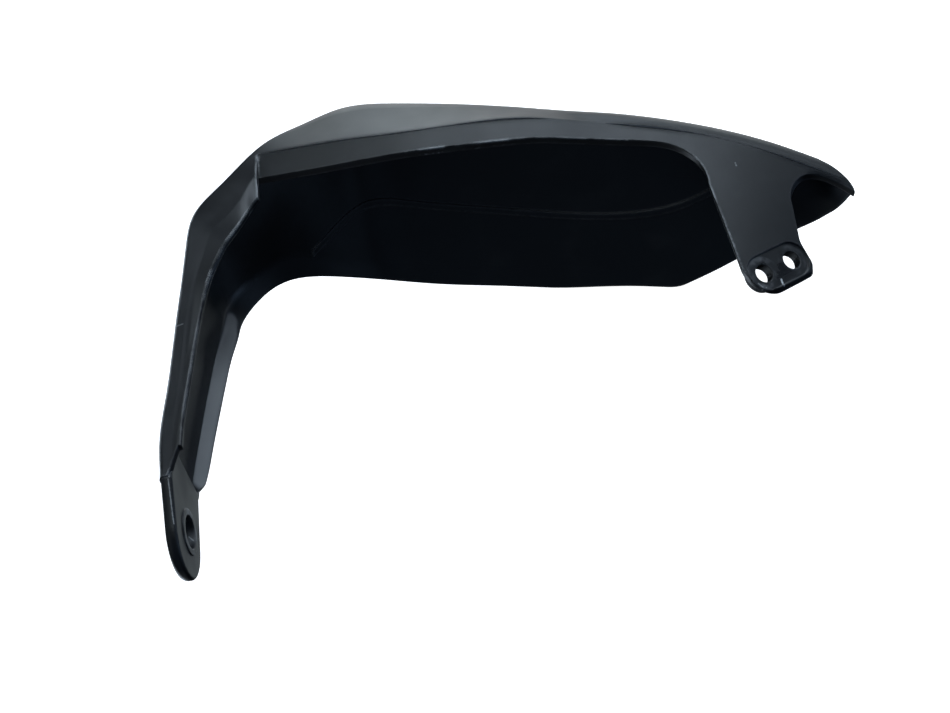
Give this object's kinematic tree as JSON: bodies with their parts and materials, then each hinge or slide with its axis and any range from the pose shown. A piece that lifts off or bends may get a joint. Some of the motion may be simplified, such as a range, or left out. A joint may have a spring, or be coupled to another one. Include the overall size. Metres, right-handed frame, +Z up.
{
  "type": "motorcycle hand guard",
  "caption": "Left hand guard for a motorcycle handlebar: a moulded shield and channel-section arm with a bar-end eye and a clamp tab for bolting to the bar.",
  "frame": {"origin": "centre of the bar-end eye's bore, on the eye's inner face", "axes": "+X inboard along the bore, +Y forward away from the rider, +Z up"},
  "size_m": [0.27, 0.196, 0.0971],
  "materials": {
    "hand_guard": "black moulded plastic with a fine grain and a satin sheen, paler along the worn edges"
  },
  "bodies": {
    "root": {"hand_guard": "hand_guard"}
  },
  "joints": []
}
